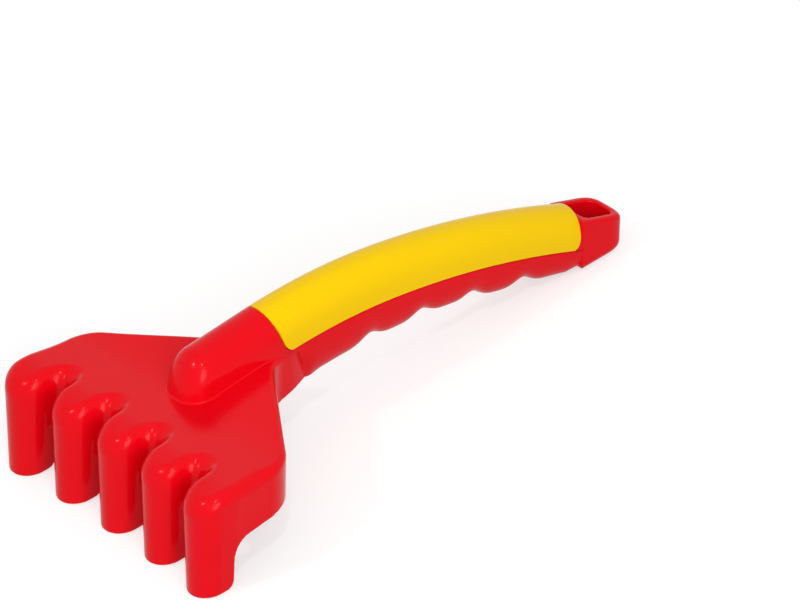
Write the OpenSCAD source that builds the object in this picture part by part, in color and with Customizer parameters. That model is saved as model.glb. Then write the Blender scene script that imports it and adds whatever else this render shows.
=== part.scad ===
// Small sand rake for a child's hand.
// The main moulding carries five hollow tines, a skirted head, a finger grip
// and a tail with a hanging hole. A cover snaps flush into the top of the grip.
//
// It is drawn with its tines upright, and then tilted so that it rests on its
// tine tips and on the underside of its tail. X runs across the head, Y from
// the tines to the tail, Z up. In the drawing, places are measured along Y
// from the front of the tips, and heights over the tips.

/* [Tines] */
// Number of tines
tine_count = 5; // [3:1:7]
// Distance from one tine to the next
tine_pitch = 24; // [20:0.5:30]
// Width of a tine at its tip
tine_width = 14.2; // [11:0.1:16]
// Depth of a tine at its tip, front to back
tine_depth = 12; // [10:0.5:15]
// Widening of a tine from tip to head, at its sides and its front, in degrees
tine_draft = 2.25; // [0:0.25:3]
// Rounding of the top of a tine
tine_top_radius = 5; // [3:0.25:6]
// Fall of the top of a tine towards the front
tine_top_fall = 3; // [1:0.25:5]
// How far the middle tine stands behind the outer ones
row_bend = 1.8; // [0:0.1:4]
// Rounding at the back of a tine's tip
tip_corner_radius = 3; // [1:0.25:4]

/* [Head] */
// Height of the head's top, at the front
head_height = 38.4; // [32:0.2:50]
// Rise of the head's top for each millimetre towards the grip
head_rise = 0.063; // [0:0.001:0.1]
// How far the head's top sweeps up to the neck, on top of that
head_lift = 5.4; // [3:0.1:7]
// Place where that sweep starts
lift_start = 31; // [28:0.5:36]
// Place where that sweep ends
lift_end = 64; // [58:0.5:72]
// Half of the head's width, between its straight sides
side_half = 54.8; // [54:0.1:56]
// Place of the web between the tines
web_place = 10.5; // [9:0.25:12]
// How far the web curves forward to meet each tine
web_curve = 5; // [0:0.25:6]
// Rounding along the head's upper edge
edge_radius = 4.3; // [2:0.1:5]
// Place where the head's straight sides end and its shoulders start
side_end = 25.6; // [22:0.2:30]
// Radius of each shoulder
shoulder_radius = 15; // [10:0.5:20]
// Angle of the flanks that run in to the neck, in degrees
flank_angle = 32.5; // [28:0.5:36]
// Radius of the hollow curve into the neck
neck_radius = 14; // [8:0.5:20]
// Width of the head where it ends under the grip
neck_width = 19.2; // [19:0.1:22]
// Place of the end of the head under the grip
neck_end = 86; // [83:0.5:88]
// Height of the skirt's lower edge, at the front
skirt_height = 16.4; // [12:0.2:22]
// Rise of the skirt's lower edge for each millimetre towards the grip
skirt_rise = 0.222; // [0.18:0.001:0.25]
// Height of the small arch behind each outer tine
arch_height = 2; // [0:0.1:3]
// Length of the small arch behind each outer tine
arch_length = 8; // [5:0.5:12]

/* [Grip] */
// Width of the grip
grip_width = 18.6; // [16:0.1:19]
// Height of the highest point of the crest
crest_height = 68.4; // [62:0.1:76]
// Place of the highest point of the crest
crest_place = 113; // [105:1:122]
// Place where the crest's curve starts, behind the straight ramp of the nose
ramp_end = 62; // [56:1:66]
// Fall of the crest from its highest point to the ramp
ramp_fall = 6.4; // [4:0.1:8]
// Fall of the crest from its highest point to the rear of the cover
crest_fall = 10.5; // [6:0.25:13]
// Place of the front of the nose that stands on the head
nose_start = 29.5; // [26:0.5:34]
// Length of the rounding at the front of the nose
nose_length = 9; // [6:0.5:12]
// Depth of the rounded crown of the grip, from its crest
crown_depth = 11; // [9:0.25:14]
// Height of the highest point of the underside
under_height = 39.6; // [36:0.1:42]
// Place of the highest point of the underside
under_place = 138; // [130:1:146]
// Fall of the underside from there to the neck
neck_fall = 5.6; // [3:0.1:7]
// Fall of the underside from there to the tail
tail_drop = 3.4; // [2:0.1:4]
// Number of finger hollows
finger_count = 4; // [3:1:5]
// Distance from one finger hollow to the next
finger_pitch = 21.8; // [20:0.1:24]
// Place of the first finger hollow
finger_start = 106.5; // [104:0.5:108]
// Depth of a finger hollow
finger_depth = 3; // [1:0.1:3.5]

/* [Cover] */
// Depth of the cover from the crest down to its seam, at its front
cover_drop = 15.8; // [13:0.1:17]
// Depth of the cover from the crest down to its seam, at its rear
rear_drop = 13.2; // [11:0.1:15]
// Place of the cover's front corners
cover_front = 69.5; // [68:0.5:74]
// Place of the cover's rear corners
cover_rear = 194; // [190:0.5:196]
// How far the cover's front edge leans forward from seam to crest
front_lean = 6.5; // [3:0.25:8]
// How far the cover's rear edge leans back from seam to crest
rear_lean = 2.2; // [1:0.1:3]
// Rounding of the cover's lower corners
corner_radius = 4.1; // [2:0.1:5]
// Gap of the seam round the cover
seam_gap = 0.3; // [0.2:0.05:0.5]
// Number of snap tabs on each side of the cover
tab_count = 4; // [2:1:6]
// Width of a snap tab
tab_width = 8.1; // [5:0.1:12]
// Depth of a snap tab below the seam
tab_depth = 4; // [2:0.25:6]
// Thickness of a snap tab
tab_wall = 1.4; // [1:0.1:1.8]
// Sideways play of a snap tab inside the grip
tab_play = 0.3; // [0.2:0.05:0.5]

/* [Tail] */
// Place of the end of the tail
tail_end = 214.7; // [213:0.1:222]
// Height of the tail's top at the rear of the cover
tail_height = 55.2; // [54:0.1:58]
// Fall of the tail's top for each millimetre towards its end
tail_fall = 0.27; // [0.15:0.01:0.35]
// Rounding of the tail's upper edge
tail_top_radius = 1.6; // [1:0.1:2.5]
// Rounding of the tail's lower edge
tail_under_radius = 3.6; // [2:0.1:4.5]
// Width of the hanging hole
hole_width = 12.2; // [10:0.2:13]
// Wall behind the hanging hole
hole_wall = 3; // [2:0.1:4]
// Length of the hanging hole
hole_length = 13; // [10:0.25:14]
// Rounding of the hanging hole's front corners
hole_corner_radius = 2.2; // [1:0.1:3]

/* [Walls] */
// Wall of the main moulding
wall = 2.16; // [1.6:0.02:2.6]
// Wall of the cover
cover_wall = 2; // [1.4:0.1:2.4]

/* [Hidden] */
$fn = 48;
overrun = 1;
// Every point of a loft lies on a grid of this step
grid = 0.03;

// Tilt that brings the tail's underside into the plane of the tips
rest_tilt = 10.4;
rest_rise = tan(rest_tilt);

// Tines
tine_half = tine_width / 2;
draft = tan(tine_draft);
row_half = (tine_count - 1) / 2 * tine_pitch;
arc_steps = 12;
top_steps = 5;
// Widening of a tine up to the rounding of its top
widening = draft * (head_height - tine_top_radius);

// Head, which is as wide at its front as the row of tines
front_half = row_half + tine_half + widening;
arch_steps = 4;
neck_half = neck_width / 2;
web_steps = 6;
spans = web_steps * tine_count;
turn_steps = 8;
edge_steps = 4;
lobe_radius = neck_half / 2;

// Grip
grip_half = grip_width / 2;
grip_steps = 14;
nose_steps = 8;
station_gap = 3.8;
nose_end = nose_start + nose_length;
// The nose is hollow from below up to a wall under the cover's front
core_end = cover_front - front_lean - wall;
core_drop = 4 * wall;
upper_share = 0.95;
lower_share = 0.6;

// Cover
seam_steps = 24;
corner_steps = 4;
f_slope = front_lean / cover_drop;
r_slope = rear_lean / cover_drop;
zone_height = cover_drop + crown_depth;

// Tail
tail_half = grip_half;
tail_start = cover_rear + rear_lean - wall / 2;
tail_steps = 7;

function ramp_slope() = 2 * ramp_fall / (crest_place - ramp_end);
function crest(y) =
    y < ramp_end ? crest_height - ramp_fall - ramp_slope() * (ramp_end - y)
    : y < crest_place ? crest_height - ramp_fall * pow((crest_place - y) / (crest_place - ramp_end), 2)
    : crest_height - crest_fall * pow((y - crest_place) / (cover_rear - crest_place), 2);
function under_line(y) =
    y < under_place
    ? under_height - neck_fall * pow((under_place - y) / (under_place - neck_end), 2)
    : under_height - tail_drop * pow((y - under_place) / (cover_rear - under_place), 2);
function hollow(y, i) =
    let (u = (y - finger_start - i * finger_pitch) / finger_pitch)
    abs(u) < 0.5 ? finger_depth * pow(0.5 + 0.5 * cos(360 * u), 2) : 0;
function hollows(y, i = 0) = i == finger_count ? 0 : hollow(y, i) + hollows(y, i + 1);
function blend(y, a, b) = let (t = max(0, min(1, (y - a) / (b - a)))) t * t * (3 - 2 * t);
function head_top(y) = head_height + head_rise * y + head_lift * blend(y, lift_start, lift_end);
function bend(x) = row_bend * (1 - pow(x / row_half, 2));

// The faces that close a ring of n points: one polygon, or on an outline of the
// head its front up to both arches, then strips between its right and left sides
function cap(n, fronts) =
    let (from = fronts + 1 + arch_steps)
    fronts == 0 ? [[for (i = [0:n - 1]) i]]
    : concat(
        [concat([for (i = [0:from]) i], [for (i = [n + fronts - from:n - 1]) i])],
        [for (i = [from:(n + fronts - 3) / 2]) [i, i + 1, n + fronts - i - 1, n + fronts - i]]
    );

// A closed solid through rings of points that each run anticlockwise as seen
// from the last ring, all with the same number of points
module rings(list, fronts = 0) {
    n = len(list[0]);
    m = len(list);
    polyhedron(
        points = [for (ring = list, p = ring) [for (v = p) round(v / grid) * grid]],
        faces = concat(
            cap(n, fronts),
            [for (k = [0:m - 2], i = [0:n - 1]) [k * n + i, (k + 1) * n + i, k * n + (i + 1) % n]],
            [
                for (k = [0:m - 2], i = [0:n - 1])
                    [k * n + (i + 1) % n, (k + 1) * n + i, (k + 1) * n + (i + 1) % n]
            ],
            [for (face = cap(n, fronts)) [for (i = [len(face) - 1:-1:0]) (m - 1) * n + face[i]]]
        ),
        convexity = 6
    );
}

// Plan of a tine: along its back and round its front
function tine_plan(half, front, back) = [
    [half, back],
    [-half, back],
    for (i = [0:arc_steps])
        let (a = 180 * i / arc_steps)
        [-half * cos(a), front + half - half * sin(a)]
];

// One tine, or its inside when it is shrunk by a wall: a column that widens
// upwards to a rounded, falling top
module tine_column(inset, foot, back, setback) {
    r = tine_top_radius - inset;
    half = tine_half - inset;
    top = head_top(tine_depth) - 1.25 * inset;
    hull() rings(concat(
        [[for (p = tine_plan(half, inset, back)) [p[0], p[1], rest_rise * (p[1] + setback) - foot]]],
        [
            for (s = [0:top_steps])
                let (a = 90 * s / top_steps, cut = r * (1 - cos(a)) - widening)
                [
                    for (p = tine_plan(half - cut, inset + cut, back))
                        let (fall = tine_top_fall * pow(max(0, 1 - p[1] / tine_depth), 2))
                        [p[0], p[1], top - fall - r * (1 - sin(a))]
                ]
        ]
    ));
}

// The rounding at the back of a tine's tip
module tip_corner(setback) {
    r = tip_corner_radius;
    translate([-tine_half - overrun, tine_depth - r, rest_rise * (tine_depth + setback) + r])
        rotate([90, 0, 90])
            linear_extrude(tine_width + 2 * overrun) difference() {
                translate([0, -r - overrun]) square([r + overrun, r + overrun]);
                circle(r);
            }
}

// Outline of the head, shrunk by an inset: its front from left to right, its
// right side back to the neck, and its left side
function head_plan(inset) =
    let (
        wf = front_half - inset,
        ws = side_half - inset,
        rs = shoulder_radius - inset,
        rn = neck_radius + inset,
        nh = neck_half - inset,
        cx = side_half - shoulder_radius,
        turn = 90 - flank_angle,
        sx = cx + rs * cos(turn),
        sy = side_end + rs * sin(turn),
        nx = nh + rn * (1 - sin(flank_angle)),
        ny = sy + (sx - nx) * tan(flank_angle) + rn * cos(flank_angle),
        lr = max(lobe_radius - inset, lobe_radius / 4),
        right = concat(
            [
                for (i = [0:arch_steps])
                    let (u = arch_length * i / arch_steps)
                    [wf + (ws - wf) * u / (side_end - tine_depth), tine_depth + u]
            ],
            [for (i = [0:turn_steps]) let (a = turn * i / turn_steps) [cx + rs * cos(a), side_end + rs * sin(a)]],
            [
                for (i = [0:turn_steps])
                    let (a = 270 - flank_angle - turn * i / turn_steps)
                    [nh + rn + rn * cos(a), ny + rn * sin(a)]
            ],
            [
                for (i = [0:turn_steps / 2])
                    let (a = 180 * i / turn_steps)
                    [nh - lr + lr * cos(a), neck_end - inset - lr + lr * sin(a)]
            ]
        )
    )
    concat(
        [
            for (i = [0:spans])
                let (
                    x = -wf + 2 * wf * i / spans,
                    near = 0.5 + 0.5 * cos(360 * (x + row_half) / tine_pitch)
                )
                [x, web_place - web_curve * near + bend(x) + inset]
        ],
        right,
        [for (i = [len(right) - 1:-1:0]) [-right[i][0], right[i][1]]]
    );

// Lower edge of the skirt, with the small arch behind each outer tine
function skirt_edge(p) =
    let (u = (p[1] - tine_depth) / arch_length)
    skirt_height + skirt_rise * p[1]
    + (abs(p[0]) > row_half && u > 0 && u < 1 ? arch_height * (0.5 - 0.5 * cos(360 * u)) : 0);

function head_ring(inset, drop) = [for (p = head_plan(inset)) [p[0], p[1], head_top(p[1]) - drop]];

// The skirted head: up its inside, round its lower edge and up its outside
module head_shell() {
    rings(concat(
        [head_ring(wall + edge_radius / 2, wall)],
        [head_ring(wall, wall + edge_radius / 2)],
        [[for (p = head_plan(wall)) [p[0], p[1], skirt_edge(p)]]],
        [[for (p = head_plan(0)) [p[0], p[1], skirt_edge(p)]]],
        [
            for (s = [0:edge_steps])
                let (a = 90 * s / edge_steps)
                head_ring(edge_radius * (1 - cos(a)), edge_radius * (1 - sin(a)))
        ]
    ), spans);
}

// The space inside the head, down to the tines' roots
module head_space() {
    rings([
        [for (p = head_plan(wall)) [p[0], p[1], skirt_height]],
        head_ring(wall, wall + edge_radius / 2),
        head_ring(wall + edge_radius / 2, wall)
    ], spans);
}

// Underside of the grip, which leaves the head behind its neck
function underside(y) =
    let (b = blend(y, neck_end - 2 * wall - nose_length, neck_end - 2 * wall))
    max((1 - b) * (head_top(y) - wall / 2) + b * (under_line(y) + hollows(y)), rest_rise * y + seam_gap);

// Share of its full size that the rounded nose has at a place
function nose(y, inset) =
    let (u = (nose_start + nose_length - y) / (nose_length - inset))
    u <= 0 ? 1 : sqrt(max(0, 1 - u * u));

// One section of the grip, shrunk by an inset, from a floor up to its crest
function section(y, inset, floor_at) =
    let (
        top = crest(y) - inset,
        low = floor_at + inset,
        f = nose(y, inset),
        high = low + (top - low) * f,
        crown = (crown_depth - inset) * f,
        half = (grip_half - inset) * f
    )
    [
        for (i = [0:2 * grip_steps - 1])
            let (a = 180 * i / grip_steps, c = cos(a), s = sin(a), e = c > 0 ? upper_share : lower_share)
            [
                half * sign(s) * pow(abs(s), e),
                y,
                high - crown + (c > 0 ? crown : high - crown - low) * sign(c) * pow(abs(c), e)
            ]
    ];

// Places of the sections round the nose, which lie closer towards its front
function nose_places(inset) = [
    for (i = [0:nose_steps])
        let (a = 90 * (i + 0.5) / (nose_steps + 0.5))
        nose_end - (nose_length - inset) * cos(a)
];

// Places of the sections between two ends, evenly spaced
function even_places(from, to) =
    let (n = ceil((to - from) / station_gap))
    [for (i = [0:n]) from + (to - from) * i / n];

// The grip through sections at some places, with its own floor or one under the head
module grip(inset, places, drop = 0) {
    rings([for (y = places) section(y, inset, drop > 0 ? head_top(y) - drop : underside(y))]);
}

// Height of the seam under the cover
function seam_line(y) =
    let (at = min(max(y, cover_front), cover_rear))
    crest(at) - cover_drop + (cover_drop - rear_drop) * (at - cover_front) / (cover_rear - cover_front);

// A shape in side view, cut right across the grip
module across(outline) {
    rotate([90, 0, 90])
        translate([0, 0, -grip_half - overrun])
            linear_extrude(grip_width + 2 * overrun) polygon(outline);
}

// Side view of the cover, grown by a gap
module cover_zone(gap) {
    front = cover_front - gap;
    rear = cover_rear + gap;
    r = corner_radius;
    function seam(y) = seam_line(y) - gap;
    across(concat(
        [[front - f_slope * zone_height, seam(front) + zone_height]],
        [
            for (i = [0:corner_steps])
                let (t = i / corner_steps, u = 1 - t)
                [
                    front - f_slope * r * u * u + r * t * t,
                    seam(front) + r * u * u + (seam(front + r) - seam(front)) * t * t
                ]
        ],
        [
            for (i = [1:seam_steps])
                let (y = front + r + (rear - front - 2 * r) * i / seam_steps)
                [y, seam(y)]
        ],
        [
            for (i = [1:corner_steps])
                let (t = i / corner_steps, u = 1 - t)
                [
                    rear - r * u * u + r_slope * r * t * t,
                    seam(rear) + (seam(rear - r) - seam(rear)) * u * u + r * t * t
                ]
        ],
        [[rear + r_slope * zone_height, seam(rear) + zone_height]]
    ));
}

// The room between the cover's end walls, open below
module cover_room() {
    front = cover_front + cover_wall;
    rear = cover_rear - cover_wall;
    across([
        [front - f_slope * zone_height, seam_line(front) + zone_height],
        [front + f_slope * corner_radius, seam_line(front) - corner_radius],
        [rear - r_slope * corner_radius, seam_line(rear) - corner_radius],
        [rear + r_slope * zone_height, seam_line(rear) + zone_height]
    ]);
}

// Outline of the tail, shrunk by an inset
function tail_plan(inset) =
    let (h = tail_half - inset, c = tail_end - tail_half)
    concat(
        [[-h, tail_start], [h, tail_start]],
        [for (i = [0:2 * tail_steps]) let (a = 90 * i / tail_steps) [h * cos(a), c + h * sin(a)]]
    );

// The tail: flat sides, a round end, and an underside in the plane of the tips
module tail() {
    rings(concat(
        [
            for (s = [0:edge_steps])
                let (a = 90 * s / edge_steps, r = tail_under_radius)
                [for (p = tail_plan(r * (1 - sin(a)))) [p[0], p[1], rest_rise * p[1] + r * (1 - cos(a))]]
        ],
        [
            for (s = [0:edge_steps])
                let (a = 90 * s / edge_steps, r = tail_top_radius)
                [
                    for (p = tail_plan(r * (1 - cos(a))))
                        [p[0], p[1], tail_height - tail_fall * (p[1] - cover_rear) - r * (1 - sin(a))]
                ]
        ]
    ));
}

// The hanging hole: round at the back, flat with rounded corners at the front
module hanging_hole() {
    r = hole_width / 2;
    c = hole_corner_radius;
    back = tail_end - hole_wall - r;
    front = tail_end - hole_wall - hole_length;
    linear_extrude(tail_height + overrun) {
        translate([0, back]) circle(r);
        translate([-r, front + c]) square([hole_width, back - front - c]);
        translate([c - r, front]) square([hole_width - 2 * c, c + overrun]);
        for (side = [-1, 1])
            translate([side * (r - c), front + c]) circle(c);
    }
}

// The drawing tilted onto its tips and tail, with its length centred
module seated() {
    end_height = tail_height - tail_fall * (tail_end - cover_rear);
    reach = (tail_end - tail_top_radius) * cos(rest_tilt)
        + (end_height - tail_top_radius) * sin(rest_tilt) + tail_top_radius;
    translate([0, -reach / 2, 0])
        rotate([-rest_tilt, 0, 0])
            children();
}

module each_tine() {
    for (i = [0:tine_count - 1]) {
        x = i * tine_pitch - row_half;
        $setback = bend(x);
        translate([x, $setback, 0]) children();
    }
}

module rake_body() color("crimson") seated() {
    difference() {
        union() {
            head_shell();
            difference() {
                each_tine() tine_column(0, 0, tine_depth, $setback);
                head_space();
            }
            grip(0, concat(nose_places(0), even_places(nose_end + station_gap, tail_start + wall / 2)));
            tail();
        }
        each_tine() {
            tine_column(wall, overrun, tine_depth + tine_top_radius, $setback);
            tip_corner($setback);
        }
        grip(wall, concat(nose_places(wall), even_places(nose_end + station_gap, core_end)), core_drop);
        grip(wall, even_places(core_end + wall, cover_rear - 2 * wall));
        cover_zone(seam_gap);
        hanging_hole();
    }
}

// The snap tabs' places, along both of the cover's inner sides
module each_tab() {
    first = cover_front + corner_radius + tab_width / 2;
    reach = cover_rear - corner_radius - tab_width / 2 - first;
    for (i = [0:tab_count - 1], side = [0, 1]) {
        y = first + reach * (i + 0.5) / tab_count;
        mirror([side, 0, 0]) translate([grip_half - wall - tab_play, y, seam_line(y)]) children();
    }
}

// The blade of a snap tab, thinned at its tip and set back from the grip's wall
module tab_blade() {
    lead = tab_wall / 2;
    hull() {
        translate([-tab_wall, -tab_width / 2, lead - tab_depth])
            cube([tab_wall, tab_width, tab_depth + 2 * cover_wall - lead]);
        translate([-tab_wall, lead - tab_width / 2, -tab_depth])
            cube([lead, tab_width - 2 * lead, lead]);
    }
}

// The root of a snap tab, which joins the cover's wall above the seam
module tab_root() {
    translate([-tab_wall, -tab_width / 2, cover_wall])
        cube([2 * tab_wall, tab_width, cover_wall]);
}

module grip_cover() color("gold") seated() {
    from = cover_front - front_lean - overrun;
    to = cover_rear + rear_lean + overrun;
    difference() {
        intersection() {
            grip(0, even_places(from, to));
            cover_zone(0);
        }
        intersection() {
            grip(cover_wall, even_places(from, to));
            cover_room();
        }
    }
    intersection() {
        grip(wall + tab_play, even_places(from, to));
        each_tab() tab_blade();
    }
    each_tab() tab_root();
}

rake_body();
grip_cover();
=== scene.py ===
"""Sand rake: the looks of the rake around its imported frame.

The rake's pieces are worked out in the drawing's own frame: tines upright, X
across, Y from the front of the tines to the tail, Z up, in millimetres. They
are then tilted onto the tine tips and the tail, in metres, as the frame is.
"""

import math

import bpy
import numpy as np
from mathutils import Matrix, Vector


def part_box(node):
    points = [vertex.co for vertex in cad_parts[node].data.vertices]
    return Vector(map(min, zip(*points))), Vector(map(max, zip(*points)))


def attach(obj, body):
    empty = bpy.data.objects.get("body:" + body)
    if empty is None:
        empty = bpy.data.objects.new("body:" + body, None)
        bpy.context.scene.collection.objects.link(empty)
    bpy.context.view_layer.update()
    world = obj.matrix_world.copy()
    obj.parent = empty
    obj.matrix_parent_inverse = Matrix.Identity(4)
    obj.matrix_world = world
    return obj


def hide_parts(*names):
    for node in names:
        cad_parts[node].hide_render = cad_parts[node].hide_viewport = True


bl_info = {
    "name": "Sand Rake",
    "version": (1, 0, 0),
    "blender": (4, 5, 0),
    "location": "3D View > Sidebar > Sand Rake",
    "description": "Builds a child's sand rake with its grip cover, snap tabs and studio",
    "category": "Object",
}

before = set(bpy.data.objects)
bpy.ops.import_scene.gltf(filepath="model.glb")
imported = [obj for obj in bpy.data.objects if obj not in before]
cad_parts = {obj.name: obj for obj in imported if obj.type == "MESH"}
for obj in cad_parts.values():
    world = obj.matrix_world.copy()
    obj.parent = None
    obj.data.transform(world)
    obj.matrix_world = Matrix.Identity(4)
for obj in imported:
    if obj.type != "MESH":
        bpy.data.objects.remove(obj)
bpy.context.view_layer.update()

MM = 0.001
TILT = math.radians(10.4)
REACH = 219.866
ROW_HALF = 2.0  # tine pitches from the middle tine to an outer one

# Head, in millimetres; a pair is where a change starts and where it is complete
HEAD_HEIGHT = 38.4
HEAD_RISE = 0.063
HEAD_LIFT = 5.4
LIFT = (29.0, 66.0)
SIDE_HALF = 54.8
SIDE_START = 12.0
SIDE_END = 25.6
SHOULDER_RADIUS = 15.0
FLANK = math.radians(32.5)
FLANK_REACH = 30.0  # how far out the neck's hollow curve is looked for
NECK_RADIUS = 14.0
NECK_HALF = 9.1
NECK_END = 86.0
NECK_ROUND = 4.0
NECK_TAPER = 4.6
NECK_TAPER_LENGTH = 18.0
NECK_BLEND = 2.4
NECK_BLEND_PLACE = (70.0, 82.0)
EDGE_EASE = 2.2  # how much smaller the upper edge's rounding is behind the tines
EDGE_EASE_PLACE = (18.0, 36.0)
SKIRT_HEIGHT = 16.4
SKIRT_RISE = 0.222
HEEL_RADIUS = 6.0
LEAST_RADIUS = 0.5
ROOF_DEPTH = 6.0  # how far under the head's top the hollow of the nose opens into the head

# Tines and the web between them, in millimetres
WEB_PLACE = 11.6
WEB_CURVE = 2.6
WEB_EASE = 2.4  # how much larger the upper edge's rounding is in the middle of a valley
WEB_EASE_SHARE = (0.5, 0.95)  # from the side of a tine, 0, to the middle of a valley, 1
WEB_EASE_PLACE = (24.0, 36.0)
ROW_BEND = 1.8
TINE_ROOT = 4.5  # how far a tine runs on into the head
TINE_OVERLAP = 2.0
TINE_TOP_FALL = 3.0
TINE_DRAFT = math.tan(math.radians(2.25))
TINE_BACK_EDGE = 0.5
TIP_CORNER = 3.0
CHANNEL_ROOF = 1.25  # thickness of the roof over a tine's hollow, in walls

# Grip, in millimetres
CREST_HEIGHT = 68.4
CREST_PLACE = 113.0
RAMP_END = 62.0
RAMP_FALL = 6.4
CREST_FALL = 10.5
COVER_FRONT = 69.5
COVER_REAR = 194.0
FRONT_LEAN = 6.5
REAR_LEAN = 2.2
DROP_FRONT = 15.8
DROP_REAR = 13.2
CORNER_RADIUS = 4.1
COVER_EDGE = 0.2
TROUGH_FRONT = 62.9
TROUGH_BACK = 189.7
PLUG_DEPTH = 2.3  # depth under the grip's outline of the plug that closes the cover's rear end
NOSE_START = 29.5
NOSE_LENGTH = 9.0
NOSE_POWER = 2.1
NOSE_STEPS = 4  # rounds in which a point finds its size on the nose
NOSE_HOLLOW_END = 60.8
NOSE_BLEND_LOSS = 0.7
NOSE_BLEND_PLACE = (56.0, 68.0)
CROWN_DEPTH = 11.0
CROWN_FULLNESS = 0.95  # from 0, a box, to 1, an ellipse
BELLY_FULLNESS = 0.6
BELLY_DEPTH = 3.0  # least depth of the grip below its crown
GRIP_ROOT = 6.0  # how far the nose and the neck reach into the head
FLOOR_START = 13.3  # before the neck's end, from here to the next, the underside leaves the head
FLOOR_STOP = 4.3
UNDER_HEIGHT = 39.6
UNDER_PLACE = 138.0
UNDER_SAG = 1.4
UNDER_SAG_PLACE = (138.0, 164.0)
UNDER_CLEARANCE = 0.3
NECK_FALL = 5.6
TAIL_DROP = 3.4
FINGERS = 4
FINGER_PITCH = 21.8
FINGER_START = 106.5

# Tail, in millimetres
TAIL_START = 195.1
TAIL_END = 214.7
TAIL_HEIGHT = 55.2
TAIL_FALL = 0.17
TAIL_POWER = 3.6
TAIL_TOP_RADIUS = 1.6
TAIL_UNDER_RADIUS = 2.8
TAIL_OVERLAP = 0.4
TAIL_BLEND = 0.25
HOLE_HALF = 6.1
HOLE_FRONT = 198.7
HOLE_BACK = 205.6
HOLE_CORNER = 2.2
HOLE_EDGE = 0.9

# Cover
CROWN_SHARE = 0.62  # share of each half of the section that goes to its crown
RIM_POWER = 4.0
MERGE_DISTANCE = 0.002

# Mesh of the moulding
BATCH = 100000  # points whose values are worked out at once
BLOCK = 6  # cells along a side of a block, which is skipped when it is far from the surface
NEAR = 1.5  # how far from the surface a block is kept, in halves of its diagonal
MARGIN = 1.3
FAR = 99.0
FIELD_RANGE = (-9.0, 30.0)
LEAST_SLOPE = 0.02
LEAST_SQUARE = 0.3
LEAST_GROWTH = 0.6
LEAST_HEIGHT = 0.4
LEAST_SIZE = 0.03
SIZE_CHANGE = (-0.5, 1.0)
SETTLE_LIMIT = 0.2
NORMAL_REACH = 0.03

# Finishes: lowest and highest roughness, and the level of the sheen
RED_GLOSS = (0.15, 0.21)
RED_SHEEN = 0.10
YELLOW_GLOSS = (0.17, 0.24)
YELLOW_SHEEN = 0.08

# Studio, in metres: the floor, the lamps and the point that they face
FLOOR_HALF = 6.0
FLOOR_SINK = -0.0001
FLOOR_GLOW = 0.56
KEY_LAMP = ((1.3, -0.6, 0.75), 0.9)
SMALL_LAMPS = {
    "small_lamp_front": ((-0.22, -1.03, 1.15), 0.10),
    "small_lamp_side": ((0.68, -0.42, 1.30), 0.10),
}
LAMP_AIM = (0.0, -0.02, 0.03)

# Camera, with its axes in the upright drawing
CAMERA_PLACE = (1.5543, -1.0404, 1.3654)
CAMERA_RIGHT = (0.62892, 0.77723, 0.0191)
CAMERA_DOWN = (0.39044, -0.2945, -0.87226)
CAMERA_AHEAD = (-0.67232, 0.55604, -0.48867)
SENSOR_WIDTH = 36.0
CLIP_RANGE = (0.05, 40.0)


# ---------------------------------------------------------------- sizes

def length(name, about, value, low=0.0001, high=1.0):
    """A length in metres."""
    return bpy.props.FloatProperty(
        name=name, description=about, default=value, min=low, max=high,
        unit="LENGTH", precision=4,
    )


def colour(name, about, value):
    """A linear colour."""
    return bpy.props.FloatVectorProperty(
        name=name, description=about, default=value, min=0.0, max=1.0,
        size=3, subtype="COLOR",
    )


class RakeBodySizes(bpy.types.PropertyGroup):
    """Sizes of the red moulding"""

    tine_count: bpy.props.IntProperty(
        name="Tines", description="Number of tines", default=5, min=1, max=5)
    tine_pitch: length("Tine Pitch", "Distance from one tine to the next", 0.024)
    tine_width: length("Tine Width", "Width of a tine at its tip", 0.0142)
    tine_depth: length("Tine Depth", "Depth of a tine at its tip", 0.012)
    top_radius: length("Edge Radius", "Rounding along the head's upper edge", 0.0045)
    valley_radius: length("Valley Blend", "Blend in the valleys between the tines", 0.0040)
    nose_blend: length("Nose Blend", "Blend between the nose and the head", 0.0006)
    grip_width: length("Grip Width", "Width of the grip", 0.0186)
    finger_depth: length("Finger Depth", "Depth of a finger hollow", 0.0027)
    wall: length("Wall", "Thickness of the moulding's wall", 0.00216)
    lip: length("Lip Rounding", "Rounding of the moulding's small edges", 0.0007)
    step: length("Mesh Step", "Distance between neighbouring points of the mesh", 0.0006)
    face_limit: bpy.props.IntProperty(
        name="Triangle Limit", description="Most triangles in the moulding's mesh",
        default=190000, min=1000)


class CoverSizes(bpy.types.PropertyGroup):
    """Sizes of the grip cover and its snap tabs"""

    wall: length("Wall", "Thickness of the cover", 0.002)
    rim: length("Rim Rounding", "Rounding of the cover's edge", 0.00028)
    seam_gap: length("Seam Gap", "Gap of the seam round the cover", 0.00016)
    rows: bpy.props.IntProperty(
        name="Rows", description="Rows of faces along the cover", default=170, min=20, max=400)
    columns: bpy.props.IntProperty(
        name="Columns", description="Columns of faces across the cover",
        default=72, min=16, max=200)
    tab_count: bpy.props.IntProperty(
        name="Tabs", description="Snap tabs on each side", default=4, min=2, max=6)
    tab_width: length("Tab Width", "Width of a snap tab", 0.0081)
    tab_depth: length("Tab Depth", "Depth of a snap tab below the seam", 0.004)
    tab_wall: length("Tab Thickness", "Thickness of a snap tab", 0.0014)


class FinishColours(bpy.types.PropertyGroup):
    """Colours of the plastics and the studio"""

    body: colour("Body", "Colour of the red moulding", (0.78, 0.0015, 0.0080))
    body_deep: colour(
        "Body, Deep", "Deeper red in the moulding's flow marks", (0.72, 0.0008, 0.0060))
    cover: colour("Cover", "Colour of the yellow cover", (0.925, 0.595, 0.0005))
    cover_deep: colour(
        "Cover, Deep", "Deeper yellow in the cover's flow marks", (0.905, 0.55, 0.0004))
    floor: colour("Floor", "Colour of the studio floor", (0.52, 0.52, 0.52))


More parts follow.
